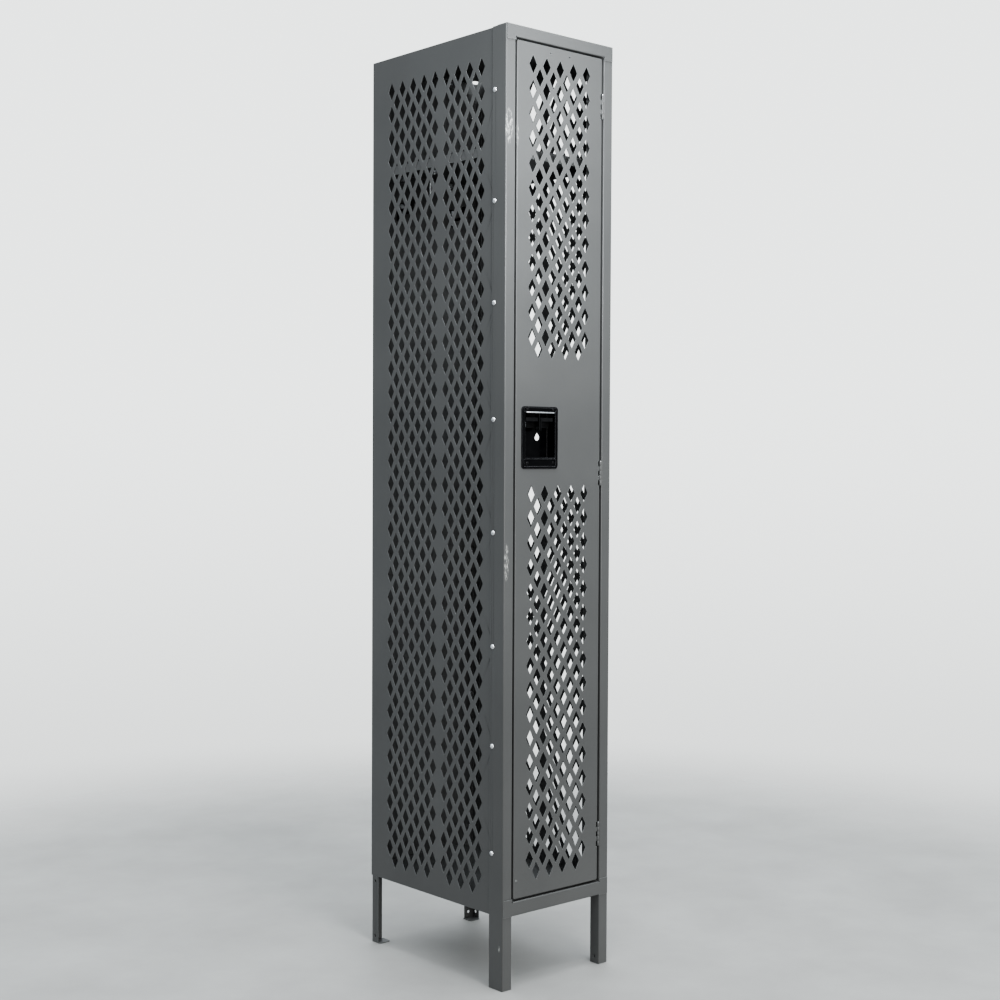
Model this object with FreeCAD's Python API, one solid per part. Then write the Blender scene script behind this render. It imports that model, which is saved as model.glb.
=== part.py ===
import FreeCAD, Part
import math
import os
from FreeCAD import Vector

# Single-tier ventilated steel locker on four legs, with one perforated door.
# Millimetres. Origin at the floor under the middle of the cabinet.
# +X is the cabinet's right, seen from in front, +Y runs to the back and +Z is up.

# ---- overall sizes ----
WIDTH = 304.8              # across the frame, without the bolt heads
DEPTH = 457.2              # from the handle's bezel to the rear bolt heads
HEIGHT = 1981.2
LEG = 152.4                # floor to the underside of the body
SHEET = 1.5                # frame, door and posts
SKIN = 1.2                 # side panels, back, top, bottom and shelf
BEND = 2.2                 # outside radius of a folded edge
BEZEL_PROUD = 2.5
HEAD_HEIGHT = 3.0          # domed bolt head

FRONT = -DEPTH / 2 + BEZEL_PROUD     # front face of the uprights and the door
BACK = DEPTH / 2 - HEAD_HEIGHT       # rear face of the back panel
LEFT = -WIDTH / 2
RIGHT = WIDTH / 2
INNER = WIDTH / 2 - SHEET - SKIN     # half the clear width between the side panels

# ---- frame ----
UPRIGHT_FACE = 26.0
OUTER_RETURN = 42.0
INNER_RETURN = 26.0
HEADER_FACE = 25.4
SILL_FACE = 29.5
EAR = 6.0                  # how far a rail's ends lap further along the uprights
RAIL_INSET = 2.0           # rail ends from the cabinet's corners
DEEP_FLANGE = 30.0         # header top and sill top
SHALLOW_FLANGE = 12.0
SIDE_TOP = HEIGHT - 2.5

# ---- diamond perforation ----
DIAMOND_W = 21.6
DIAMOND_H = 38.1
COLUMN = 19.05             # from one column to the next
ROW = 50.8                 # from one row to the next in a column
SIDE_FIRST_Y = FRONT + 79.0
SIDE_COLUMNS = 17
SIDE_BLANK = 9             # the staggered column left out, counted from the back
SIDE_ROWS = 34
SIDE_TOP_ROW = 1904.5
DOOR_CENTRE = LEFT + 150.5
DOOR_COLUMNS = 9
UPPER_ZONE = (1908.5, 12)  # height of the first row and number of rows
LOWER_ZONE = (1024.5, 16)

# ---- trays: top, shelf and bottom ----
TRAY_FRONT = FRONT + 14.0
TOP_DROP = 20.0
SHELF_TOP = 1740.0
SHELF_DROP = 19.0
SHELF_FRONT = FRONT + 28.0
BOTTOM_TOP = LEG + SILL_FACE - 2.5
BOTTOM_DROP = 26.0
FRONT_NOTCH = 28.0
REAR_NOTCH = 28.5

# ---- rear posts and feet ----
POST_SIDE = 23.0
POST_BACK = 27.0
POST_TOP = SIDE_TOP - 24.0
LEG_HOLE_R = 3.5
ANCHOR_HOLE_Z = 15.0
UPPER_HOLE_Z = LEG - 12.0

# ---- door ----
DOOR_LEFT = LEFT + 30.0
DOOR_RIGHT = LEFT + 273.4
DOOR_BOTTOM = 186.0
DOOR_TOP = 1952.0
DOOR_CORNER = 4.0
DOOR_FLANGE = 18.0
PLATE_HOLE_SPACING = 54.0
PLATE_HOLE_R = 1.7
PLATE_HOLE_Z = 1938.5
RIVET_AT = (DOOR_LEFT + 8.0, 224.0)

# ---- hinges ----
HINGE_X = LEFT + 275.8
HINGE_Y = FRONT + 1.0
HINGES = {"top": 1850.0, "middle": 1067.0, "bottom": 286.0}
HINGE_HEIGHT = 50.8
KNUCKLES = 5
BARREL_R = 2.9
PIN_R = 1.25
RUNNING = 0.05
KNUCKLE_GAP = 0.3
LEAF = 1.4
NOTCH_DEPTH = 4.8
BARREL_CLEAR = 0.6
FRAME_LEAF_DEPTH = 22.0
DOOR_LEAF_DEPTH = 16.0

# ---- recessed handle ----
HANDLE_X0 = LEFT + 46.0
HANDLE_X1 = HANDLE_X0 + 101.5
HANDLE_Z0 = 1077.2
HANDLE_Z1 = 1206.2
HANDLE_CORNER = 7.0
POCKET_X0 = HANDLE_X0 + 10.0
POCKET_X1 = HANDLE_X0 + 93.0
POCKET_Z0 = 1100.0
POCKET_Z1 = 1193.0
POCKET_DEPTH = 22.0
MOUTH_SLOPE = 1.2          # round the sides and bottom of the pocket's mouth
CUP_WALL = 1.5
CUP_CLEAR = 1.5            # door cut-out round the cup
PANEL_SINK = 1.2           # sunk bands above and below the pocket
BAND_MARGIN = 6.0
TRIM_HEIGHT = 2.6
HANDLE_SCREWS_X = (POCKET_X0 + 6.3, POCKET_X1 - 4.0)
HANDLE_SCREWS_Z = (1089.0, 1199.8)
DROP_X = POCKET_X0 + 54.0  # teardrop hole in the pocket's back
DROP_Z = 1142.5
DROP_R = 6.9
DROP_TIP = 10.2

# ---- lift and latch ----
TRAVEL = 9.0
LIFT_X0 = POCKET_X0 + 4.0
LIFT_X1 = POCKET_X1 - 4.0
LIFT_TOP = POCKET_Z1 - TRAVEL - 0.5
LIFT_SHEET = 2.0
LIFT_LIP = 8.5
LIFT_BACK_Y = FRONT + 13.5
EYE_R = 4.3
EYE_Y = FRONT + 5.5
EYE_Z = 1163.0
HASP_X = POCKET_X0 + 39.0
HASP_SHEET = 2.5
BAR_X0 = LEFT + 34.5
BAR_X1 = LEFT + 46.5
BAR_Y = FRONT + 9.0
BAR_SHEET = 2.5
BAR_Z0 = 215.0
BAR_Z1 = 1915.0
LINK_Z = 1164.0
LINK_HEIGHT = 10.0
GUIDES_Z = (238.0, 640.0, 1262.0, 1560.0, 1893.0)
GUIDE_HEIGHT = 24.0
SLIDING = 0.3
HOOKS = {"top": 1790.0, "middle": 1000.0, "bottom": 345.0}
HOOK_X = LEFT + 39.0
HOOK_SHEET = 3.0
HOOK_ARM = 6.0
HOOK_NOSE = 4.0

# ---- coat hooks ----
CEILING_HOOK = (-60.0, 120.0)
CEILING_HOOK_DROP = 76.0
WALL_HOOK_X = 75.0
WALL_HOOK_Z = 1656.0
WALL_HOOK_HOLES = 12.0     # above and below the middle of a wall hook's plate
HOOK_PLATE = 2.5
HOOK_WIRE_R = 3.2
SHANK_R = 2.2

# ---- fasteners ----
BOLT_R = 3.0
HEAD_R = 5.3
NUT_FLATS = 10.0
NUT_HEIGHT = 5.0
SIDE_BOLT_Y = FRONT + 35.0
SIDE_BOLTS_Z = (1851.0, 1625.0, 1417.0, 1178.0, 945.0, 710.0, 504.0, 281.0)
POST_BOLT_X = 136.0
POST_BOLTS_Z = (1900.0, 1560.0, 1220.0, 880.0, 540.0, 220.0)
TRAY_BOLT_X = 70.0

X = Vector(1, 0, 0)
Y = Vector(0, 1, 0)
Z = Vector(0, 0, 1)


# ---- small helpers ----
def box(x0, x1, y0, y1, z0, z1):
    return Part.makeBox(x1 - x0, y1 - y0, z1 - z0, Vector(x0, y0, z0))


def rod(radius, start, direction, length):
    return Part.makeCylinder(radius, length, start, direction)


def joined(shapes):
    return shapes[0].multiFuse(shapes[1:]).removeSplitter()


def mirrored(shape):
    return shape.mirror(Vector(0, 0, 0), X)


def outline_face(points):
    return Part.Face(Part.makePolygon(points + points[:1]))


def folded_strip(path, thickness, place, length):
    """A sheet folded at each inner point of path, then drawn out along length.

    path runs along the outside of the folds, which all turn left. place turns
    its two numbers into a point.
    """
    outer, inner = [], []
    inner_radius = BEND - thickness
    for index, (u, v) in enumerate(path):
        before = path[index - 1] if index else None
        after = path[index + 1] if index + 1 < len(path) else None
        if before and after:
            du, dv = unit(before, (u, v))
            eu, ev = unit((u, v), after)
            cu = u - du * BEND - dv * BEND
            cv = v - dv * BEND + du * BEND
            outer.append(corner_arc(cu, cv, (dv, -du), (ev, -eu), BEND))
            inner.append(corner_arc(cu, cv, (dv, -du), (ev, -eu), inner_radius))
        else:
            du, dv = unit((u, v), after) if after else unit(before, (u, v))
            outer.append([(u, v)])
            inner.append([(u - dv * thickness, v + du * thickness)])
    edges = chain_edges(outer, place)
    edges.append(straight(outer[-1][-1], inner[-1][0], place))
    back = [list(reversed(group)) for group in reversed(inner)]
    edges += chain_edges(back, place)
    edges.append(straight(back[-1][-1], outer[0][0], place))
    return Part.Face(Part.Wire(edges)).extrude(length)


def unit(start, end):
    du, dv = end[0] - start[0], end[1] - start[1]
    size = math.hypot(du, dv)
    return du / size, dv / size


def corner_arc(cu, cv, first, last, radius):
    """Start, middle and end of a quarter turn about (cu, cv)."""
    mu, mv = first[0] + last[0], first[1] + last[1]
    size = math.hypot(mu, mv)
    rays = (first, (mu / size, mv / size), last)
    return [(cu + ru * radius, cv + rv * radius) for ru, rv in rays]


def straight(start, end, place):
    return Part.LineSegment(place(*start), place(*end)).toShape()


def chain_edges(groups, place):
    edges = []
    for index, group in enumerate(groups):
        if len(group) == 3:
            edges.append(Part.Arc(*[place(*point) for point in group]).toShape())
        if index + 1 < len(groups):
            edges.append(straight(group[-1], groups[index + 1][0], place))
    return edges


def diamond(centre, across):
    """Wire of one diamond hole; across is the way its width runs."""
    half_w, half_h = DIAMOND_W / 2, DIAMOND_H / 2
    corners = [centre + across * half_w, centre + Z * half_h,
               centre - across * half_w, centre - Z * half_h]
    return Part.makePolygon(corners + corners[:1])


def diamond_centres(first, step, columns, top_row, rows, stagger, blank=None):
    """Along-the-panel position and height of each hole; odd columns sit stagger higher."""
    centres = []
    for column in range(columns):
        if column == blank:
            continue
        top = top_row + (stagger if column % 2 else 0)
        for row in range(rows):
            centres.append((first + column * step, top - row * ROW))
    return centres


def rounded_rectangle(x0, x1, z0, z1, radius, y):
    """Wire in a plane of constant y."""
    corners = ((x1, z0, 0), (x1, z1, 90), (x0, z1, 180), (x0, z0, 270))
    edges, ends = [], []
    for x, z, turn in corners:
        cx = x - radius if x == x1 else x + radius
        cz = z - radius if z == z1 else z + radius
        points = []
        for step in (-90, -45, 0):
            angle = math.radians(turn + step)
            points.append(Vector(cx + radius * math.cos(angle), y, cz + radius * math.sin(angle)))
        edges.append(Part.Arc(*points).toShape())
        ends.append((points[0], points[2]))
    for index in range(4):
        edges.insert(2 * index + 1,
                     Part.LineSegment(ends[index][1], ends[(index + 1) % 4][0]).toShape())
    return Part.Wire(edges)


def domed_bolt(head_radius, head_height, shank_radius, length):
    """Head pointing up from z = 0, shank going down, with a cross recess."""
    sphere_r = (head_radius ** 2 + head_height ** 2) / (2 * head_height)
    centre_z = head_height - sphere_r
    half = math.atan2(head_radius, -centre_z) / 2
    middle = Vector(sphere_r * math.sin(half), 0, centre_z + sphere_r * math.cos(half))
    rim = Vector(head_radius, 0, 0)
    crown = Vector(0, 0, head_height)
    profile = Part.Wire([
        Part.LineSegment(Vector(0, 0, 0), rim).toShape(),
        Part.Arc(rim, middle, crown).toShape(),
        Part.LineSegment(crown, Vector(0, 0, 0)).toShape()])
    head = Part.Face(profile).revolve(Vector(0, 0, 0), Z, 360)
    arm, slot = head_radius * 0.62, head_radius * 0.13
    floor = head_height * 0.45
    cross = joined([box(-arm, arm, -slot, slot, floor, head_height + 1),
                    box(-slot, slot, -arm, arm, floor, head_height + 1)])
    shank = rod(shank_radius, Vector(0, 0, -length), Z, length)
    return joined([head.cut(cross), shank])


def hex_nut(flats, height, bore):
    """Nut standing on z = 0."""
    reach = flats / math.sqrt(3)
    corners = [Vector(reach * math.cos(math.radians(60 * k)), reach * math.sin(math.radians(60 * k)), 0)
               for k in range(6)]
    return outline_face(corners).extrude(Z * height).cut(rod(bore, Vector(0, 0, -1), Z, height + 2))


def pointed(shape, at, direction):
    """A copy of shape with its +Z turned to direction and its origin moved to at."""
    copy = shape.copy()
    copy.Placement = FreeCAD.Placement(at, FreeCAD.Rotation(Z, direction))
    return copy


def wire_hook(points, radius):
    """Round rod along straight runs joined by arcs, with a ball on its end."""
    edges = []
    start = points[0]
    for index in range(1, len(points) - 1):
        before = (points[index - 1] - points[index]).normalize()
        after = (points[index + 1] - points[index]).normalize()
        half = before.getAngle(after) / 2
        reach = 0.45 * min((points[index] - points[index - 1]).Length,
                           (points[index + 1] - points[index]).Length)
        bend_radius = reach * math.tan(half)
        entry = points[index] + before * reach
        leave = points[index] + after * reach
        bisector = (before + after).normalize()
        middle = points[index] + bisector * (bend_radius / math.sin(half) - bend_radius)
        edges.append(Part.LineSegment(start, entry).toShape())
        edges.append(Part.Arc(entry, middle, leave).toShape())
        start = leave
    edges.append(Part.LineSegment(start, points[-1]).toShape())
    path = Part.Wire(edges)
    direction = (points[1] - points[0]).normalize()
    section = Part.Wire(Part.Circle(points[0], direction, radius).toShape())
    pipe = path.makePipeShell([section], True, False)
    ball = Part.makeSphere(radius * 1.6, points[-1])
    return pipe.fuse(ball).removeSplitter()


# ---- frame ----
def frame_upright_left():
    path = [(LEFT, FRONT + OUTER_RETURN), (LEFT, FRONT),
            (LEFT + UPRIGHT_FACE, FRONT), (LEFT + UPRIGHT_FACE, FRONT + INNER_RETURN)]
    channel = folded_strip(path, SHEET, lambda u, v: Vector(u, v, 0), Z * (HEIGHT - SHEET))
    holes = [rod(BOLT_R, Vector(LEFT - 1, SIDE_BOLT_Y, z), X, SHEET + 2) for z in SIDE_BOLTS_Z]
    holes.append(rod(LEG_HOLE_R, Vector(LEFT + UPRIGHT_FACE - SHEET - 1, FRONT + INNER_RETURN / 2,
                                        ANCHOR_HOLE_Z), X, SHEET + 2))
    return channel.cut(holes)


def rail(path, top, ear_low, ear_high):
    """Front rail whose flanges stop at the uprights and whose ends lap over them."""
    x0, x1 = LEFT + RAIL_INSET, RIGHT - RAIL_INSET
    face = FRONT - SHEET
    body = folded_strip(path, SHEET, lambda u, v: Vector(x0, u, v), X * (x1 - x0))
    inner_edge = LEFT + UPRIGHT_FACE + 0.6
    trims = []
    for side in (-1, 1):
        ends = sorted((side * (RIGHT + 1), -side * inner_edge))
        trims.append(box(*ends, FRONT, BACK, LEG - 5, top))
    body = body.cut(trims)
    for side in (-1, 1):
        ends = sorted((side * x1, -side * (LEFT + UPRIGHT_FACE)))
        body = body.fuse(box(*ends, face, FRONT, ear_low, ear_high))
    return body.removeSplitter()


def relief_notches(z):
    """Square reliefs where a rail's fold meets its lapped ends."""
    edge = LEFT + UPRIGHT_FACE
    left = box(edge - 1.0, edge + 2.2, FRONT - 5, FRONT + 4, z - 2.4, z + 2.4)
    return [left, mirrored(left)]


def frame_header():
    low = HEIGHT - HEADER_FACE
    path = [(FRONT + DEEP_FLANGE, HEIGHT), (FRONT - SHEET, HEIGHT),
            (FRONT - SHEET, low), (FRONT + SHALLOW_FLANGE, low)]
    header = rail(path, HEIGHT - SHEET, low - EAR, low + BEND + 2)
    return header.cut(relief_notches(low))


def frame_sill():
    high = LEG + SILL_FACE
    path = [(FRONT + DEEP_FLANGE, high), (FRONT - SHEET, high),
            (FRONT - SHEET, LEG), (FRONT + SHALLOW_FLANGE, LEG)]
    sill = rail(path, high + 10, high - BEND - 2, high + EAR)
    foot = [box(*sorted((side * (RIGHT - RAIL_INSET), -side * (LEFT + UPRIGHT_FACE))),
                FRONT - SHEET, FRONT, LEG, LEG + BEND + 2) for side in (-1, 1)]
    return joined([sill] + foot).cut(relief_notches(high))


def side_panel(stagger):
    """Left-hand panel. The right-hand one is the same stamping turned end over end."""
    x = LEFT + SHEET
    y0, y1 = FRONT + BEND, BACK
    corners = [Vector(x, y0, LEG), Vector(x, y1, LEG), Vector(x, y1, SIDE_TOP), Vector(x, y0, SIDE_TOP)]
    holes = diamond_centres(SIDE_FIRST_Y + (SIDE_COLUMNS - 1) * COLUMN, -COLUMN, SIDE_COLUMNS,
                            SIDE_TOP_ROW, SIDE_ROWS, stagger, SIDE_BLANK)
    wires = [Part.makePolygon(corners + corners[:1])]
    wires += [diamond(Vector(x, y, z), Y) for y, z in holes]
    for z in SIDE_BOLTS_Z:
        wires.append(Part.Wire(Part.Circle(Vector(x, SIDE_BOLT_Y, z), X, BOLT_R).toShape()))
    return Part.Face(wires).extrude(X * SKIN)


def tray(front, top, drop, front_notch, rear_notch):
    """Sheet with its edges turned down; front_notch and rear_notch are its cut-in corners.

    The front corners clear the uprights and the rear ones clear the posts. A
    size of 0 leaves the corners whole.
    """
    rear = BACK - SKIN
    low = top - drop
    front_end = FRONT + INNER_RETURN + 2 if front_notch else front
    rear_end = rear - rear_notch
    front_half = INNER - front_notch
    rear_half = INNER - rear_notch
    sheet = [box(-INNER, INNER, front_end, rear_end, top - SKIN, top)]
    if front_notch:
        sheet.append(box(-front_half, front_half, front, front_end, top - SKIN, top))
    if rear_notch:
        sheet.append(box(-rear_half, rear_half, rear_end, rear, top - SKIN, top))
    turned = [box(-front_half, front_half, front, front + SKIN, low, top),
              box(-rear_half, rear_half, rear - SKIN, rear, low, top)]
    for side in (-1, 1):
        x0, x1 = sorted((side * INNER, side * (INNER - SKIN)))
        turned.append(box(x0, x1, front_end, rear_end, low, top))
    return joined(sheet + turned)


def tray_bolt_holes(heights):
    return [rod(BOLT_R, Vector(side * TRAY_BOLT_X, BACK - 10, z), Y, 20)
            for z in heights for side in (-1, 1)]


def tray_bolt_heights():
    return (SIDE_TOP - TOP_DROP / 2, SHELF_TOP - SHELF_DROP / 2, BOTTOM_TOP - BOTTOM_DROP / 2)


def top_panel():
    panel = tray(TRAY_FRONT, SIDE_TOP, TOP_DROP, FRONT_NOTCH, REAR_NOTCH)
    return panel.cut(tray_bolt_holes(tray_bolt_heights()[:1]))


def hat_shelf():
    shelf = tray(SHELF_FRONT, SHELF_TOP, SHELF_DROP, 0, REAR_NOTCH)
    hook_hole = rod(BOLT_R, Vector(*CEILING_HOOK, SHELF_TOP - 10), Z, 20)
    return shelf.cut(tray_bolt_holes(tray_bolt_heights()[1:2]) + [hook_hole])


def bottom_panel():
    panel = tray(TRAY_FRONT, BOTTOM_TOP, BOTTOM_DROP, FRONT_NOTCH, REAR_NOTCH)
    return panel.cut(tray_bolt_holes(tray_bolt_heights()[2:]))


def back_panel():
    panel = box(-INNER, INNER, BACK - SKIN, BACK, LEG, SIDE_TOP)
    holes = [rod(BOLT_R, Vector(side * POST_BOLT_X, BACK - 10, z), Y, 20)
             for z in POST_BOLTS_Z for side in (-1, 1)]
    holes += [rod(BOLT_R, at - Y * 10, Y, 20) for at in wall_hook_bolts()]
    return panel.cut(holes + tray_bolt_holes(tray_bolt_heights()))


def rear_post_left():
    """Angle in the rear corner, drawn down to the floor as the rear leg."""
    x, y = -INNER, BACK - SKIN
    path = [(x, y - POST_SIDE), (x, y), (x + POST_BACK, y)]
    flipped = [(u, -v) for u, v in path]
    angle = folded_strip(flipped, SHEET, lambda u, v: Vector(u, -v, 0), Z * POST_TOP)
    holes = [rod(BOLT_R, Vector(-POST_BOLT_X, BACK - 10, z), Y, 20) for z in POST_BOLTS_Z]
    for z in (ANCHOR_HOLE_Z, UPPER_HOLE_Z):
        holes.append(rod(LEG_HOLE_R, Vector(x - 5, y - POST_SIDE / 2, z), X, 10))
        holes.append(rod(LEG_HOLE_R, Vector(x + POST_BACK / 2 + 1, y - 5, z), Y, 10))
    return angle.cut(holes)


def rear_foot_left():
    x, y = -INNER + SHEET, BACK - SKIN - SHEET
    plate = box(x, x + POST_BACK + 2, y - POST_SIDE - 4, y, 0, 2.0)
    corner = [edge for edge in plate.Edges
              if edge.BoundBox.ZLength > 1 and edge.BoundBox.YMin < y - POST_SIDE]
    return plate.makeFillet(4.0, corner).cut(rear_post_left())


# ---- hinges ----
def knuckle_spans(z, frame_side):
    """Height ranges of one leaf's knuckles: the frame has the odd ones."""
    pitch = HINGE_HEIGHT / KNUCKLES
    low = z - HINGE_HEIGHT / 2
    first = 0 if frame_side else 1
    return [(low + k * pitch + KNUCKLE_GAP / 2, low + (k + 1) * pitch - KNUCKLE_GAP / 2)
            for k in range(first, KNUCKLES, 2)]


def hinge_leaf(z, frame_side):
    inner = RIGHT - UPRIGHT_FACE if frame_side else DOOR_RIGHT - SHEET
    depth = FRAME_LEAF_DEPTH if frame_side else DOOR_LEAF_DEPTH
    plate_front = HINGE_Y + BARREL_R + BARREL_CLEAR
    low, high = z - HINGE_HEIGHT / 2, z + HINGE_HEIGHT / 2
    solids = [box(inner - LEAF, inner, plate_front, FRONT + depth, low, high)]
    for z0, z1 in knuckle_spans(z, frame_side):
        solids.append(rod(BARREL_R, Vector(HINGE_X, HINGE_Y, z0), Z, z1 - z0))
        solids.append(box(inner - LEAF, inner, HINGE_Y + 0.4, plate_front + 1, z0, z1))
        bridge_x = (HINGE_X, inner) if frame_side else (inner - LEAF, HINGE_X)
        solids.append(box(*bridge_x, HINGE_Y + 0.4, HINGE_Y + 0.4 + LEAF, z0, z1))
    bore = PIN_R if frame_side else PIN_R + RUNNING
    return joined(solids).cut(rod(bore, Vector(HINGE_X, HINGE_Y, low - 1), Z, HINGE_HEIGHT + 2))


def hinge_pin(z):
    low = z - HINGE_HEIGHT / 2
    pin = rod(PIN_R, Vector(HINGE_X, HINGE_Y, low - 0.4), Z, HINGE_HEIGHT + 0.4)
    head = rod(PIN_R + 0.9, Vector(HINGE_X, HINGE_Y, low + HINGE_HEIGHT), Z, 1.0)
    return joined([pin, head])


# ---- door ----
def door_hole_wires():
    half_span = (DOOR_COLUMNS - 1) * COLUMN / 2
    wires = []
    for top_row, rows in (UPPER_ZONE, LOWER_ZONE):
        centres = diamond_centres(DOOR_CENTRE - half_span, COLUMN, DOOR_COLUMNS, top_row, rows,
                                  -ROW / 2)
        wires += [diamond(Vector(x, FRONT, z), X) for x, z in centres]
    for side in (-1, 1):
        at = Vector(DOOR_CENTRE + side * PLATE_HOLE_SPACING / 2, FRONT, PLATE_HOLE_Z)
        wires.append(Part.Wire(Part.Circle(at, Y, PLATE_HOLE_R).toShape()))
    for x in HANDLE_SCREWS_X:
        for z in HANDLE_SCREWS_Z:
            wires.append(Part.Wire(Part.Circle(Vector(x, FRONT, z), Y, 2.0).toShape()))
    wires.append(Part.Wire(Part.Circle(Vector(RIVET_AT[0], FRONT, RIVET_AT[1]), Y, 1.6).toShape()))
    gap = CUP_WALL + CUP_CLEAR
    wires.append(rounded_rectangle(POCKET_X0 - gap, POCKET_X1 + gap, POCKET_Z0 - gap,
                                   POCKET_Z1 + gap, 3.0, FRONT))
    return wires


def door_pan():
    """Plain folded pan of the door, rounded at its front edges and corners."""
    block = box(DOOR_LEFT, DOOR_RIGHT, FRONT, FRONT + DOOR_FLANGE, DOOR_BOTTOM, DOOR_TOP)
    corners = [edge for edge in block.Edges if edge.BoundBox.YLength > 1]
    block = block.makeFillet(DOOR_CORNER, corners)
    rim = [edge for edge in block.Edges if edge.BoundBox.YMax < FRONT + 0.1]
    block = block.makeFillet(BEND, rim)
    hollow = box(DOOR_LEFT + SHEET, DOOR_RIGHT - SHEET, FRONT + SHEET, FRONT + DOOR_FLANGE + 1,
                 DOOR_BOTTOM + SHEET, DOOR_TOP - SHEET)
    corners = [edge for edge in hollow.Edges if edge.BoundBox.YLength > 1]
    return block.cut(hollow.makeFillet(DOOR_CORNER - SHEET, corners))


def door_panel():
    cutters = [Part.Face(wire).extrude(Y * 10) for wire in door_hole_wires()]
    for cutter in cutters:
        cutter.translate(Vector(0, -2, 0))
    for z in HINGES.values():
        reach = HINGE_HEIGHT / 2 + 1.3
        cutters.append(box(DOOR_RIGHT - NOTCH_DEPTH, DOOR_RIGHT + 1, FRONT - 1,
                           HINGE_Y + BARREL_R + BARREL_CLEAR, z - reach, z + reach))
    return door_pan().cut(cutters)


def door_stiffener():
    x0, x1 = LEFT + 240.0, LEFT + 266.0
    rear = FRONT + 15.0
    path = [(x0, -(FRONT + SHEET)), (x0, -rear), (x1, -rear), (x1, -(FRONT + SHEET))]
    length = Z * (DOOR_TOP - DOOR_BOTTOM - 40)
    return folded_strip(path, SHEET, lambda u, v: Vector(u, -v, DOOR_BOTTOM + 20), length)


def door_rivet():
    head = domed_bolt(2.6, 1.1, 1.6, 5.0)
    return pointed(head, Vector(RIVET_AT[0], FRONT, RIVET_AT[1]), -Y)


# ---- recessed handle ----
def handle_cup():
    face = FRONT - BEZEL_PROUD
    bezel = Part.Face(rounded_rectangle(HANDLE_X0, HANDLE_X1, HANDLE_Z0, HANDLE_Z1,
                                        HANDLE_CORNER, face)).extrude(Y * BEZEL_PROUD)
    rim = [edge for edge in bezel.Edges if edge.BoundBox.YMax < face + 0.1]
    bezel = bezel.makeChamfer(1.2, rim)
    shell = box(POCKET_X0 - CUP_WALL, POCKET_X1 + CUP_WALL, FRONT - 0.5,
                FRONT + POCKET_DEPTH + CUP_WALL, POCKET_Z0 - CUP_WALL, POCKET_Z1 + CUP_WALL)
    pocket = box(POCKET_X0, POCKET_X1, face - 1, FRONT + POCKET_DEPTH, POCKET_Z0, POCKET_Z1)
    floor_edges = [edge for edge in pocket.Edges if edge.BoundBox.YMin > FRONT + POCKET_DEPTH - 0.1]
    pocket = pocket.makeFillet(2.5, floor_edges)
    mouth = box(POCKET_X0 - MOUTH_SLOPE, POCKET_X1 + MOUTH_SLOPE, face - 1, face + MOUTH_SLOPE,
                POCKET_Z0 - MOUTH_SLOPE, POCKET_Z1)
    slopes = [edge for edge in mouth.Edges
              if edge.BoundBox.YMin > face + 1 and edge.BoundBox.ZMin < POCKET_Z1 - 1]
    mouth = mouth.makeChamfer(MOUTH_SLOPE, slopes)
    band = (HANDLE_X0 + BAND_MARGIN, HANDLE_X1 - BAND_MARGIN, face - 1, face + PANEL_SINK)
    sunk = [box(*band, POCKET_Z1 + TRIM_HEIGHT, HANDLE_Z1 - 3.0),
            box(*band, HANDLE_Z0 + 5, POCKET_Z0 - 3)]
    trim_seat = box(POCKET_X0 + 2, POCKET_X1 - 1, face - 1, face + 1.5, POCKET_Z1 - 1,
                    POCKET_Z1 + TRIM_HEIGHT)
    link_slot = box(POCKET_X0 - CUP_WALL - 1, POCKET_X0 + 1, FRONT + 11, FRONT + 16,
                    LINK_Z - 2, LINK_Z + LINK_HEIGHT + TRAVEL + 2)
    screw_holes = [rod(2.0, Vector(x, face - 1, z), Y, 10)
                   for x in HANDLE_SCREWS_X for z in HANDLE_SCREWS_Z]
    cuts = [pocket, mouth, trim_seat, link_slot, teardrop_cutter()] + sunk + screw_holes
    return joined([bezel, shell]).cut(cuts)


def teardrop_cutter():
    """Round-bottomed drop that narrows to a point at its top."""
    half = math.acos(DROP_R / DROP_TIP)
    y = FRONT + POCKET_DEPTH - 2
    tip = Vector(DROP_X, y, DROP_Z + DROP_TIP)
    left = Vector(DROP_X - DROP_R * math.sin(half), y, DROP_Z + DROP_R * math.cos(half))
    right = Vector(DROP_X + DROP_R * math.sin(half), y, DROP_Z + DROP_R * math.cos(half))
    bottom = Vector(DROP_X, y, DROP_Z - DROP_R)
    wire = Part.Wire([Part.Arc(left, bottom, right).toShape(),
                      Part.LineSegment(right, tip).toShape(),
                      Part.LineSegment(tip, left).toShape()])
    return Part.Face(wire).extrude(Y * 6)


def handle_trim():
    """Bright rolled strip along the top edge of the pocket."""
    face = FRONT - BEZEL_PROUD
    strip = box(POCKET_X0 + 3, POCKET_X1 - 2, face + 0.2, face + 1.5, POCKET_Z1 - 0.6,
                POCKET_Z1 + TRIM_HEIGHT - 0.2)
    rim = [edge for edge in strip.Edges
           if edge.BoundBox.YMax < face + 0.3 and edge.BoundBox.XLength > 1]
    return strip.makeFillet(0.9, rim)


def handle_screws():
    screw = domed_bolt(3.3, 1.3, 1.9, 9.0)
    seat = FRONT - BEZEL_PROUD + PANEL_SINK
    return Part.makeCompound([pointed(screw, Vector(x, seat, z), -Y)
                              for x in HANDLE_SCREWS_X for z in HANDLE_SCREWS_Z])


def handle_nuts():
    nut = hex_nut(7.0, 3.0, 1.95)
    return Part.makeCompound([pointed(nut, Vector(x, FRONT + SHEET, z), Y)
                              for x in HANDLE_SCREWS_X for z in HANDLE_SCREWS_Z])


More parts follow.
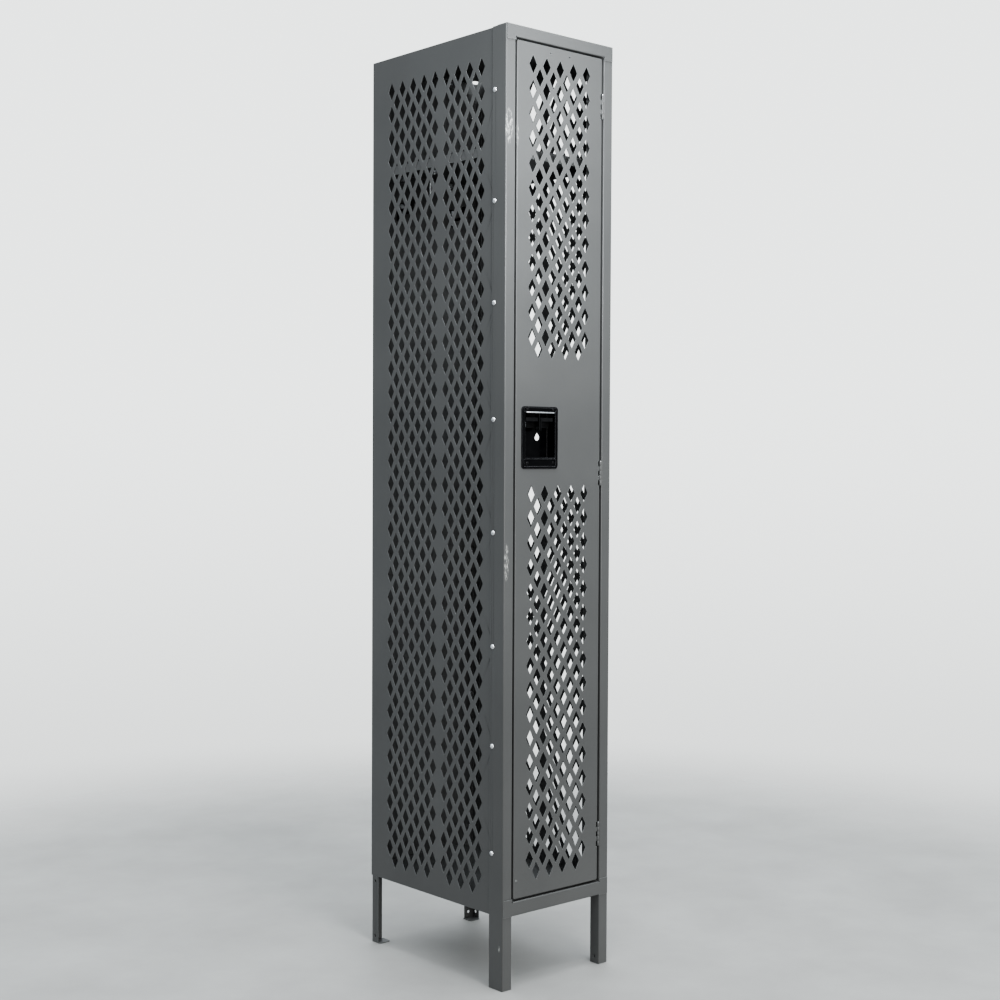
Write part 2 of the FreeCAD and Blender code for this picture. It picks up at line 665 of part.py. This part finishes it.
def padlock_hasp():
    """Fixed eye, hung from the top of the pocket."""
    low = EYE_Z - EYE_R - 3.5
    plate = box(HASP_X, HASP_X + HASP_SHEET, FRONT - 0.9, FRONT + 12, low, POCKET_Z1)
    nose = [edge for edge in plate.Edges
            if edge.BoundBox.XLength > 1 and edge.BoundBox.ZMax < low + 0.1]
    plate = plate.makeFillet(5.0, nose)
    return plate.cut(rod(EYE_R, Vector(HASP_X - 1, EYE_Y, EYE_Z), X, HASP_SHEET + 2))


# ---- lift and latch ----
def finger_lift():
    """Ledge for the fingers with a turned-down lip, split for the fixed eye."""
    front, rear = FRONT + 1, LIFT_BACK_Y + LIFT_SHEET
    ledge = box(LIFT_X0, LIFT_X1, front, rear, LIFT_TOP - LIFT_SHEET, LIFT_TOP)
    lip = box(LIFT_X0, LIFT_X1, front, front + LIFT_SHEET, LIFT_TOP - LIFT_LIP, LIFT_TOP)
    back = box(LIFT_X0, LIFT_X1, LIFT_BACK_Y, rear, LINK_Z - 2, LIFT_TOP)
    rim = [edge for edge in lip.Edges
           if edge.BoundBox.XLength > 1 and edge.BoundBox.YMax < front + 0.1]
    lip = lip.makeFillet(0.9, rim)
    ear = box(HASP_X + HASP_SHEET + 1.5, HASP_X + 2 * HASP_SHEET + 1.5, EYE_Y - EYE_R - 2, rear,
              EYE_Z - EYE_R - 3, LIFT_TOP)
    slot = box(HASP_X - 1, HASP_X + HASP_SHEET + 1, front - 1, LIFT_BACK_Y, LINK_Z - 20, LIFT_TOP + 1)
    eye = rod(EYE_R, Vector(HASP_X, EYE_Y, EYE_Z), X, 12)
    return joined([ledge, lip, back, ear]).cut([slot, eye])


def latch_bar():
    bar = box(BAR_X0, BAR_X1, BAR_Y, BAR_Y + BAR_SHEET, BAR_Z0, BAR_Z1)
    windows = []
    for z in HOOKS.values():
        windows.append(box(HOOK_X - 2.5, HOOK_X + HOOK_SHEET + 2.5, BAR_Y - 1, BAR_Y + BAR_SHEET + 1,
                           z - HOOK_ARM - TRAVEL - 1, z + HOOK_NOSE + 0.5))
    return bar.cut(windows)


def latch_link():
    """Flat link that carries the lift's movement to the bar."""
    y = BAR_Y + BAR_SHEET
    return box(BAR_X0 + 1, LIFT_X0 + 8, y, LIFT_BACK_Y, LINK_Z, LINK_Z + LINK_HEIGHT)


def latch_rivets():
    """One rivet through the bar and link, one through the link and lift."""
    z = LINK_Z + LINK_HEIGHT / 2
    rivets = []
    for x, y0, y1 in (((BAR_X0 + BAR_X1) / 2, BAR_Y - 1, LIFT_BACK_Y + 1),
                      (LIFT_X0 + 4, BAR_Y + BAR_SHEET - 1, LIFT_BACK_Y + LIFT_SHEET + 1)):
        rivets.append(rod(3.0, Vector(x, y0, z), Y, 1.0))
        rivets[-1] = joined([rivets[-1], rod(1.6, Vector(x, y0, z), Y, y1 - y0),
                             rod(3.0, Vector(x, y1 - 1, z), Y, 1.0)])
    return Part.makeCompound(rivets)


def rivet_holes():
    z = LINK_Z + LINK_HEIGHT / 2
    return [rod(1.6, Vector(x, FRONT, z), Y, 20) for x in ((BAR_X0 + BAR_X1) / 2, LIFT_X0 + 4)]


def latch_guides():
    """Plastic keepers on the door that the bar slides through."""
    guides = []
    for z in GUIDES_Z:
        low, high = z - GUIDE_HEIGHT / 2, z + GUIDE_HEIGHT / 2
        block = box(BAR_X0 - 2.3, BAR_X1 + 2.3, FRONT + SHEET, BAR_Y + BAR_SHEET + 2.5, low, high)
        rear = [edge for edge in block.Edges
                if edge.BoundBox.YMin > BAR_Y + BAR_SHEET + 2.4 and edge.BoundBox.ZLength > 1]
        block = block.makeFillet(1.8, rear)
        guides.append(block.cut(box(BAR_X0 - SLIDING, BAR_X1 + SLIDING, BAR_Y - SLIDING,
                                    BAR_Y + BAR_SHEET + SLIDING, low - 1, high + 1)))
    return Part.makeCompound(guides)


def jamb_hook(z):
    """Hook on the strike jamb that reaches round the door's flange and through the bar."""
    jamb = LEFT + UPRIGHT_FACE
    hook_end = HOOK_X + HOOK_SHEET
    rear = FRONT + 24.5
    base = box(jamb, jamb + SHEET, FRONT + 19, FRONT + INNER_RETURN - 0.5, z - 18, z + 12)
    arm = box(jamb, hook_end, rear - 3, rear, z - HOOK_ARM, z)
    plate = box(HOOK_X, hook_end, FRONT + 5.5, rear, z - HOOK_ARM, z)
    tip = [Vector(HOOK_X, FRONT + 5.5, z - 1), Vector(HOOK_X, FRONT + 7, z + HOOK_NOSE),
           Vector(HOOK_X, FRONT + 8.2, z + HOOK_NOSE), Vector(HOOK_X, FRONT + 8.2, z - 1)]
    nose = outline_face(tip).extrude(X * HOOK_SHEET)
    return joined([base, arm, plate, nose])


def door_bumpers():
    """Rubber buttons that the closed door's flange rests against."""
    bumpers = []
    for z in HOOKS.values():
        at = Vector(DOOR_LEFT + 1.2, FRONT + 21.5, z - HOOK_ARM / 2)
        bumpers.append(pointed(rubber_button(3.0, 3.1), at, -Y))
    return Part.makeCompound(bumpers)


def rubber_button(radius, height):
    """Plain button with a rounded top."""
    button = rod(radius, Vector(0, 0, 0), Z, height)
    rim = [edge for edge in button.Edges if edge.BoundBox.ZMin > height - 0.1]
    return button.makeFillet(0.8, rim)


# ---- coat hooks ----
def ceiling_hook():
    """Plate under the shelf with a long shank that ends in a hook."""
    x, y = CEILING_HOOK
    top = SHELF_TOP - SKIN
    low = top - CEILING_HOOK_DROP
    plate = box(x - 11, x + 11, y - 16, y + 28, top - HOOK_PLATE, top)
    stem = y + 14
    points = [Vector(x, stem, top - 1.5), Vector(x, stem, low), Vector(x, stem - 12, low - 14),
              Vector(x, stem - 32, low - 12), Vector(x, stem - 40, low + 6)]
    hole = rod(BOLT_R, Vector(x, y, top - 10), Z, 20)
    return joined([plate, wire_hook(points, SHANK_R)]).cut(hole)


def wall_hook_bolts():
    return [Vector(side * WALL_HOOK_X, BACK, WALL_HOOK_Z + offset)
            for side in (-1, 1) for offset in (WALL_HOOK_HOLES, -WALL_HOOK_HOLES)]


def wall_hook(side):
    wall = BACK - SKIN
    x, z = side * WALL_HOOK_X, WALL_HOOK_Z
    plate = box(x - 9, x + 9, wall - HOOK_PLATE, wall, z - 20, z + 20)
    points = [Vector(x, wall - 1.5, z), Vector(x, wall - 24, z - 6),
              Vector(x, wall - 42, z), Vector(x, wall - 46, z + 18)]
    holes = [rod(BOLT_R, at - Y * 20, Y, 30) for at in wall_hook_bolts()]
    return joined([plate, wire_hook(points, HOOK_WIRE_R)]).cut(holes)


# ---- fasteners ----
def side_bolts(side):
    bolt = domed_bolt(HEAD_R, HEAD_HEIGHT, BOLT_R, SHEET + SKIN + NUT_HEIGHT + 1.5)
    return Part.makeCompound([pointed(bolt, Vector(side * RIGHT, SIDE_BOLT_Y, z), X * side)
                              for z in SIDE_BOLTS_Z])


def side_nuts(side):
    nut = hex_nut(NUT_FLATS, NUT_HEIGHT, BOLT_R)
    return Part.makeCompound([pointed(nut, Vector(side * INNER, SIDE_BOLT_Y, z), X * -side)
                              for z in SIDE_BOLTS_Z])


def back_fixings():
    """Head position and thickness gripped, for every bolt through the back panel."""
    places = [(Vector(side * POST_BOLT_X, BACK, z), SKIN + SHEET)
              for z in POST_BOLTS_Z for side in (-1, 1)]
    places += [(Vector(side * TRAY_BOLT_X, BACK, z), 2 * SKIN)
               for z in tray_bolt_heights() for side in (-1, 1)]
    places += [(at, SKIN + HOOK_PLATE) for at in wall_hook_bolts()]
    return places


def back_bolts():
    return Part.makeCompound([
        pointed(domed_bolt(HEAD_R, HEAD_HEIGHT, BOLT_R, grip + NUT_HEIGHT + 1.5), at, Y)
        for at, grip in back_fixings()])


def back_nuts():
    nut = hex_nut(NUT_FLATS, NUT_HEIGHT, BOLT_R)
    return Part.makeCompound([pointed(nut, at - Y * grip, -Y) for at, grip in back_fixings()])


def shelf_hook_bolt():
    bolt = domed_bolt(HEAD_R, HEAD_HEIGHT, BOLT_R, SKIN + HOOK_PLATE + NUT_HEIGHT + 1.5)
    return pointed(bolt, Vector(*CEILING_HOOK, SHELF_TOP), Z)


def shelf_hook_nut():
    at = Vector(*CEILING_HOOK, SHELF_TOP - SKIN - HOOK_PLATE)
    return pointed(hex_nut(NUT_FLATS, NUT_HEIGHT, BOLT_R), at, -Z)


def all_parts():
    holes = rivet_holes()
    parts = {
        "frame_upright_left": frame_upright_left(),
        "frame_upright_right": mirrored(frame_upright_left()),
        "frame_header": frame_header(),
        "frame_sill": frame_sill(),
        "side_panel_left": side_panel(-ROW / 2),
        "side_panel_right": mirrored(side_panel(ROW / 2)),
        "back_panel": back_panel(),
        "top_panel": top_panel(),
        "bottom_panel": bottom_panel(),
        "hat_shelf": hat_shelf(),
        "rear_post_left": rear_post_left(),
        "rear_post_right": mirrored(rear_post_left()),
        "rear_foot_left": rear_foot_left(),
        "rear_foot_right": mirrored(rear_foot_left()),
        "door_panel": door_panel(),
        "door_stiffener": door_stiffener(),
        "door_rivet": door_rivet(),
        "door_bumpers": door_bumpers(),
        "handle_cup": handle_cup(),
        "handle_trim": handle_trim(),
        "handle_screws": handle_screws(),
        "handle_nuts": handle_nuts(),
        "padlock_hasp": padlock_hasp(),
        "finger_lift": finger_lift().cut(holes),
        "latch_bar": latch_bar().cut(holes),
        "latch_link": latch_link().cut(holes),
        "latch_rivets": latch_rivets(),
        "latch_guides": latch_guides(),
        "coat_hook_ceiling": ceiling_hook(),
        "coat_hook_left": wall_hook(-1),
        "coat_hook_right": wall_hook(1),
        "side_bolts_left": side_bolts(-1),
        "side_bolts_right": side_bolts(1),
        "side_nuts_left": side_nuts(-1),
        "side_nuts_right": side_nuts(1),
        "back_bolts": back_bolts(),
        "back_nuts": back_nuts(),
        "ceiling_hook_bolt": shelf_hook_bolt(),
        "ceiling_hook_nut": shelf_hook_nut(),
    }
    for place, z in HINGES.items():
        parts["hinge_frame_leaf_" + place] = hinge_leaf(z, True)
        parts["hinge_door_leaf_" + place] = hinge_leaf(z, False)
        parts["hinge_pin_" + place] = hinge_pin(z)
    for place, z in HOOKS.items():
        parts["jamb_hook_" + place] = jamb_hook(z)
    return parts


os.makedirs("parts", exist_ok=True)
for name, shape in all_parts().items():
    shape.exportStep("parts/" + name + ".step")
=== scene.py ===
"""Looks of the single-tier perforated steel locker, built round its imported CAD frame.

Metres, in the CAD's own frame: +X is the cabinet's right seen from in front, +Y runs to the
back, +Z is up and the floor is z = 0.
"""

import math

import bmesh
import bpy
from mathutils import Matrix, Vector


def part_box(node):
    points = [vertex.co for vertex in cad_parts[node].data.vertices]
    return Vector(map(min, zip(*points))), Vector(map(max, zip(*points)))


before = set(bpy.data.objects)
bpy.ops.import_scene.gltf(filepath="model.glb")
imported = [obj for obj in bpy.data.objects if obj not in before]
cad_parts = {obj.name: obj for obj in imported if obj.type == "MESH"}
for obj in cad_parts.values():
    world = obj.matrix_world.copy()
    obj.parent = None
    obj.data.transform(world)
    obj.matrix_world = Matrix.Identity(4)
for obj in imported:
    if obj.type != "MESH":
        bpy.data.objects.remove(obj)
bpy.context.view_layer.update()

# ---- view: a standing camera at the cabinet's front left ----
CAMERA_AT = Vector((-2.2942, -2.6608, 1.1068))
CAMERA_YAW = 41.187        # degrees from +Y towards +X
CAMERA_PITCH = -1.645
CAMERA_ROLL = 0.2625
CAMERA_LENS = 57.26        # millimetres, on a 36 mm sensor

# ---- room ----
FLOOR_RADIUS = 3.0
FLOOR_FADE = (1.25, 2.8)   # where the floor starts and ends melting into the wall
FLOOR_COLOUR = (0.250, 0.246, 0.238)
FLOOR_CLOUD = (0.300, 0.296, 0.287)
WALL_COLOUR = (0.97, 1.0, 0.995)
WALL_BRIGHTNESS = 1.4
WALL_FOOT = 0.60           # the wall's share of its brightness at the floor
ROOM_COLOUR = (0.94, 1.0, 1.04)
ROOM_LIGHT = (0.62, 2.1)   # strength of the even light from the horizon and from straight above
WARM = (1.0, 0.975, 0.93)  # lamp colours
COOL = (0.96, 1.0, 1.03)
CONTRAST = "AgX - High Contrast"

# ---- paint ----
PAINT_COLOUR = (0.074, 0.0745, 0.074)
PAINT_LIGHT = (0.086, 0.0865, 0.0855)
SCUFF_COLOUR = (0.30, 0.30, 0.29)
EDGE_HIGHLIGHT_COLOUR = (0.20, 0.205, 0.205)   # painted highlight: lighter colour along the sheet's sharp edges, standing in for light catching them
# painted highlight along the handle's sharp edges, standing in for light catching them
HANDLE_EDGE_HIGHLIGHT = (0.10, 0.10, 0.105)

# ---- softened edges ----
SHEET_BEVEL = 0.00045
SMALL_BEVEL = 0.00020
SHARP_ANGLE = 40           # degrees between faces that get a bevel
WELD_DISTANCE = 0.000002


# ---- node helpers ----
class Finish:
    """One material under construction, with short calls for its nodes."""

    def __init__(self, name, colour, roughness, metallic=0.0):
        self.material = bpy.data.materials.new(name)
        self.material.use_nodes = True
        self.nodes = self.material.node_tree.nodes
        self.links = self.material.node_tree.links
        self.shader = self.nodes["Principled BSDF"]
        self.shader.inputs["Base Color"].default_value = (*colour, 1)
        self.shader.inputs["Roughness"].default_value = roughness
        self.shader.inputs["Metallic"].default_value = metallic
        self.place = self.nodes.new("ShaderNodeTexCoord").outputs["Object"]

    def put(self, socket, value):
        """Links value if it is a socket, and otherwise sets it."""
        if isinstance(value, bpy.types.NodeSocket):
            self.links.new(value, socket)
        else:
            socket.default_value = value

    def use(self, **inputs):
        """Sets or links the shader's own sockets; Base_Color stands for Base Color."""
        for name, value in inputs.items():
            self.put(self.shader.inputs[name.replace("_", " ")], value)

    def stretched(self, factors):
        node = self.nodes.new("ShaderNodeMapping")
        node.inputs["Scale"].default_value = factors
        self.links.new(self.place, node.inputs["Vector"])
        return node.outputs["Vector"]

    def noise(self, scale, detail=3.0, roughness=0.5, stretch=None):
        node = self.nodes.new("ShaderNodeTexNoise")
        node.inputs["Scale"].default_value = scale
        node.inputs["Detail"].default_value = detail
        node.inputs["Roughness"].default_value = roughness
        self.links.new(self.stretched(stretch) if stretch else self.place, node.inputs["Vector"])
        return node.outputs["Fac"]

    def fit(self, value, low, high, to_low=0.0, to_high=1.0, smooth=False):
        """value from low..high to to_low..to_high, held at both ends."""
        node = self.nodes.new("ShaderNodeMapRange")
        node.interpolation_type = "SMOOTHSTEP" if smooth else "LINEAR"
        for name, number in (("Value", value), ("From Min", low), ("From Max", high),
                             ("To Min", to_low), ("To Max", to_high)):
            self.put(node.inputs[name], number)
        return node.outputs["Result"]

    def calculate(self, operation, first, second):
        node = self.nodes.new("ShaderNodeMath")
        node.operation = operation
        self.put(node.inputs[0], first)
        self.put(node.inputs[1], second)
        return node.outputs[0]

    def mix(self, share, first, second):
        """Colour first where share is 0, second where it is 1."""
        node = self.nodes.new("ShaderNodeMix")
        node.data_type = "RGBA"
        self.put(node.inputs[0], share)
        for socket, value in ((node.inputs[6], first), (node.inputs[7], second)):
            self.put(socket, (*value, 1) if isinstance(value, tuple) else value)
        return node.outputs[2]

    def bump(self, height, distance, strength):
        node = self.nodes.new("ShaderNodeBump")
        node.inputs["Strength"].default_value = strength
        node.inputs["Distance"].default_value = distance
        self.links.new(height, node.inputs["Height"])
        return node.outputs["Normal"]

    def edges(self, radius):
        """1 along sharp edges, falling to 0 on the flat within the radius."""
        rounded = self.nodes.new("ShaderNodeBevel")
        rounded.samples = 6
        rounded.inputs["Radius"].default_value = radius
        likeness = self.nodes.new("ShaderNodeVectorMath")
        likeness.operation = "DOT_PRODUCT"
        self.links.new(rounded.outputs["Normal"], likeness.inputs[0])
        geometry = self.nodes.new("ShaderNodeNewGeometry")
        self.links.new(geometry.outputs["Normal"], likeness.inputs[1])
        return self.fit(likeness.outputs["Value"], 0.90, 0.995, 1.0, 0.0)

    def patch(self, centre, half_size, softness=0.35):
        """1 inside an ellipsoid about centre, falling to 0 past its surface."""
        shift = self.nodes.new("ShaderNodeVectorMath")
        shift.operation = "SUBTRACT"
        self.links.new(self.place, shift.inputs[0])
        shift.inputs[1].default_value = centre
        scale = self.nodes.new("ShaderNodeVectorMath")
        scale.operation = "DIVIDE"
        self.links.new(shift.outputs[0], scale.inputs[0])
        scale.inputs[1].default_value = half_size
        size = self.nodes.new("ShaderNodeVectorMath")
        size.operation = "LENGTH"
        self.links.new(scale.outputs[0], size.inputs[0])
        return self.fit(size.outputs["Value"], 1 - softness, 1.0, 1.0, 0.0, smooth=True)


# ---- materials ----
def rub_marks():
    """Centre and half size of each worn place on the paint, from the frame's own boxes."""
    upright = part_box("frame_upright_left")[0]
    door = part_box("door_panel")[0]
    corner = Vector((upright.x, upright.y, 0))
    return [
        # front face of the left upright, near its top and at half height
        (corner + Vector((0.009, 0, 1.774)), (0.012, 0.006, 0.040)),
        (corner + Vector((0.007, 0, 0.886)), (0.007, 0.006, 0.045)),
        # outer side of its leg
        (corner + Vector((0.000, 0.010, 0.088)), (0.003, 0.003, 0.009)),
        # free edge of the door
        (Vector((door.x, door.y, 1.760)), (0.006, 0.005, 0.030)),
    ]


def cabinet_paint():
    """Grey powder coat: fine orange peel, faint clouding, pale rubs on a few edges, and a painted
    highlight along every sharp edge.
    """
    finish = Finish("grey_powder_coat", PAINT_COLOUR, 0.42)
    clouds = finish.noise(2.6, 4.0, 0.55)
    colour = finish.mix(finish.fit(clouds, 0.35, 0.65), PAINT_COLOUR, PAINT_LIGHT)
    grain = finish.noise(420.0, 2.0, 0.6)
    worn = None
    for centre, half_size in rub_marks():
        mark = finish.patch(centre, half_size)
        worn = mark if worn is None else finish.calculate("MAXIMUM", worn, mark)
    speckle = finish.fit(finish.noise(260.0, 4.0, 0.7, (1, 1, 0.35)), 0.46, 0.60, smooth=True)
    worn = finish.calculate("MULTIPLY", worn, speckle)
    smudge = finish.fit(finish.noise(9.0, 5.0, 0.6), 0.3, 0.7, 0.36, 0.50)
    # painted highlight: the paint turns lighter along every sharp edge, standing in for light
    # catching the edges
    colour = finish.mix(finish.calculate("MULTIPLY", finish.edges(0.0012), 0.8), colour, EDGE_HIGHLIGHT_COLOUR)
    finish.use(
        Base_Color=finish.mix(worn, colour, SCUFF_COLOUR),
        Roughness=finish.fit(worn, 0.0, 1.0, smudge, 0.62),
        Normal=finish.bump(grain, 0.00005, 0.5))
    return finish.material


def zinc_plate():
    """Bright zinc plating with a faint brushed bloom."""
    finish = Finish("zinc_plate_finish", (0.72, 0.73, 0.75), 0.3, metallic=1.0)
    bloom = finish.noise(120.0, 4.0, 0.6)
    finish.use(
        Base_Color=finish.mix(finish.fit(bloom, 0.3, 0.7), (0.62, 0.63, 0.65), (0.80, 0.81, 0.82)),
        Roughness=finish.fit(finish.noise(300.0), 0.3, 0.7, 0.22, 0.38),
        Normal=finish.bump(finish.noise(1500.0, 2.0), 0.00002, 0.4))
    return finish.material


def handle_black():
    """Gloss black of the recessed handle, with light handling haze and a painted highlight along its
    sharp edges.
    """
    finish = Finish("gloss_black_finish", (0.003, 0.003, 0.0035), 0.2)
    haze = finish.fit(finish.noise(40.0, 5.0, 0.65), 0.35, 0.75, 0.14, 0.30)
    black = finish.mix(finish.fit(finish.noise(60.0), 0.4, 0.8), (0.0025, 0.0025, 0.003),
                       (0.006, 0.006, 0.0065))
    finish.use(
        # painted highlight: lighter colour along the handle's sharp edges, standing in for light
        # reflected off them
        Base_Color=finish.mix(finish.edges(0.0009), black, HANDLE_EDGE_HIGHLIGHT),
        Roughness=haze,
        Specular_IOR_Level=0.14,
        Normal=finish.bump(finish.noise(700.0, 2.0), 0.00003, 0.35))
    return finish.material


def black_steel():
    """Satin black coat of the lift, link and hasp."""
    finish = Finish("satin_black_finish", (0.006, 0.006, 0.0065), 0.4)
    finish.use(
        Base_Color=finish.mix(finish.fit(finish.noise(80.0, 4.0), 0.45, 0.8),
                              (0.005, 0.005, 0.0055), (0.014, 0.014, 0.0145)),
        Roughness=finish.fit(finish.noise(200.0, 3.0), 0.3, 0.7, 0.34, 0.50),
        Specular_IOR_Level=0.2,
        Normal=finish.bump(finish.noise(900.0, 2.0), 0.00003, 0.5))
    return finish.material


def guide_nylon():
    """Off-white moulded nylon."""
    finish = Finish("moulded_nylon", (0.62, 0.60, 0.54), 0.45)
    finish.shader.inputs["Subsurface Weight"].default_value = 0.15
    finish.shader.inputs["Subsurface Radius"].default_value = (0.002, 0.0018, 0.0012)
    finish.use(
        Base_Color=finish.mix(finish.noise(70.0, 3.0), (0.56, 0.54, 0.48), (0.68, 0.66, 0.60)),
        Roughness=finish.fit(finish.noise(400.0), 0.3, 0.7, 0.38, 0.52),
        Normal=finish.bump(finish.noise(900.0), 0.00004, 0.4))
    return finish.material


def rubber():
    """Matt black rubber with a slight bloom."""
    finish = Finish("black_rubber", (0.02, 0.02, 0.02), 0.8)
    finish.use(
        Base_Color=finish.mix(finish.noise(200.0, 4.0), (0.014, 0.014, 0.014),
                              (0.034, 0.034, 0.033)),
        Roughness=finish.fit(finish.noise(300.0), 0.3, 0.7, 0.70, 0.88),
        Normal=finish.bump(finish.noise(1200.0), 0.00006, 0.6))
    return finish.material


def floor_finish():
    """Plain pale floor with faint clouding, which melts into the wall far from the cabinet."""
    finish = Finish("pale_floor", FLOOR_COLOUR, 0.6)
    clouds = finish.fit(finish.noise(3.0, 7.0, 0.62), 0.32, 0.68)
    reach = finish.nodes.new("ShaderNodeVectorMath")
    reach.operation = "LENGTH"
    finish.links.new(finish.place, reach.inputs[0])
    finish.use(
        Base_Color=finish.mix(clouds, FLOOR_COLOUR, FLOOR_CLOUD),
        Alpha=finish.fit(reach.outputs["Value"], *FLOOR_FADE, 1.0, 0.0, smooth=True))
    return finish.material


def finish_cad_nodes():
    """Gives every CAD node the finish of its slot, and softens its edges."""
    finishes = {"cabinet_paint": cabinet_paint(), "zinc_plate": zinc_plate(),
                "handle_black": handle_black(), "black_steel": black_steel(),
                "guide_nylon": guide_nylon(), "rubber": rubber()}
    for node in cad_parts.values():
        slot_name = node.material_slots[0].material.name.split(".")[0]
        node.material_slots[0].material = finishes[slot_name]
        soften(node, SHEET_BEVEL if slot_name == "cabinet_paint" else SMALL_BEVEL)


def soften(node, width):
    """Welds the CAD's split vertices and rounds its sharp edges by a hair."""
    weld = node.modifiers.new("weld", "WELD")
    weld.merge_threshold = WELD_DISTANCE
    bevel = node.modifiers.new("soft_edges", "BEVEL")
    bevel.width = width
    bevel.segments = 2
    bevel.limit_method = "ANGLE"
    bevel.angle_limit = math.radians(SHARP_ANGLE)
    bevel.harden_normals = True


# ---- room, light and camera ----
def floor():
    mesh = bpy.data.meshes.new("floor")
    disc = bmesh.new()
    bmesh.ops.create_circle(disc, cap_ends=True, segments=96, radius=FLOOR_RADIUS)
    disc.to_mesh(mesh)
    disc.free()
    mesh.materials.append(floor_finish())
    ground = bpy.data.objects.new("floor", mesh)
    bpy.context.scene.collection.objects.link(ground)


def graded_sky(world, colour, lower, upper):
    """Background whose strength changes between two (slope, strength) pairs."""
    nodes, links = world.node_tree.nodes, world.node_tree.links
    split = nodes.new("ShaderNodeSeparateXYZ")
    links.new(nodes.new("ShaderNodeTexCoord").outputs["Generated"], split.inputs[0])
    rise = nodes.new("ShaderNodeMapRange")
    rise.interpolation_type = "SMOOTHSTEP"
    for name, number in (("From Min", lower[0]), ("From Max", upper[0]),
                         ("To Min", lower[1]), ("To Max", upper[1])):
        rise.inputs[name].default_value = number
    links.new(split.outputs["Z"], rise.inputs["Value"])
    sky = nodes.new("ShaderNodeBackground")
    sky.inputs["Color"].default_value = (*colour, 1)
    links.new(rise.outputs["Result"], sky.inputs["Strength"])
    return sky.outputs[0]


def surroundings():
    """A pale wall all round for the camera, and a dimmer soft light for everything else."""
    world = bpy.data.worlds.new("studio")
    world.use_nodes = True
    nodes, links = world.node_tree.nodes, world.node_tree.links
    wall = graded_sky(world, WALL_COLOUR, (-0.30, WALL_BRIGHTNESS * WALL_FOOT),
                      (0.06, WALL_BRIGHTNESS))
    room = graded_sky(world, ROOM_COLOUR, (0.1, ROOM_LIGHT[0]), (1.0, ROOM_LIGHT[1]))
    choice = nodes.new("ShaderNodeMixShader")
    links.new(nodes.new("ShaderNodeLightPath").outputs["Is Camera Ray"], choice.inputs[0])
    links.new(room, choice.inputs[1])
    links.new(wall, choice.inputs[2])
    links.new(choice.outputs[0], nodes["World Output"].inputs["Surface"])
    bpy.context.scene.world = world
    bpy.context.scene.view_settings.look = CONTRAST


def soft_box(name, at, target, size, watts, colour):
    """Square lamp at a point, facing another."""
    lamp = bpy.data.lights.new(name, "AREA")
    lamp.shape = "SQUARE"
    lamp.size = size
    lamp.energy = watts
    lamp.color = colour
    holder = bpy.data.objects.new(name, lamp)
    holder.location = at
    holder.rotation_euler = (Vector(target) - Vector(at)).to_track_quat("-Z", "Y").to_euler()
    holder.visible_camera = False
    bpy.context.scene.collection.objects.link(holder)


def lights():
    soft_box("key", at=(-0.24, -0.84, 1.83), target=(-0.15, -0.2, 1.7), size=0.35, watts=9.5,
             colour=COOL)
    soft_box("overhead", at=(-0.15, -0.6, 3.0), target=(-0.1, -0.1, 0.5), size=0.5, watts=22,
             colour=COOL)
    soft_box("front_fill", at=(-0.6, -3.4, 1.1), target=(0, 0, 0.5), size=2.0, watts=62,
             colour=WARM)


def camera():
    data = bpy.data.cameras.new("camera")
    data.lens = CAMERA_LENS
    data.clip_start, data.clip_end = 0.1, 60
    holder = bpy.data.objects.new("camera", data)
    turn = (Matrix.Rotation(-math.radians(CAMERA_YAW), 4, "Z")
            @ Matrix.Rotation(math.radians(90 + CAMERA_PITCH), 4, "X")
            @ Matrix.Rotation(math.radians(CAMERA_ROLL), 4, "Z"))
    holder.matrix_world = Matrix.Translation(CAMERA_AT) @ turn
    bpy.context.scene.collection.objects.link(holder)
    bpy.context.scene.camera = holder


finish_cad_nodes()
floor()
surroundings()
lights()
camera()
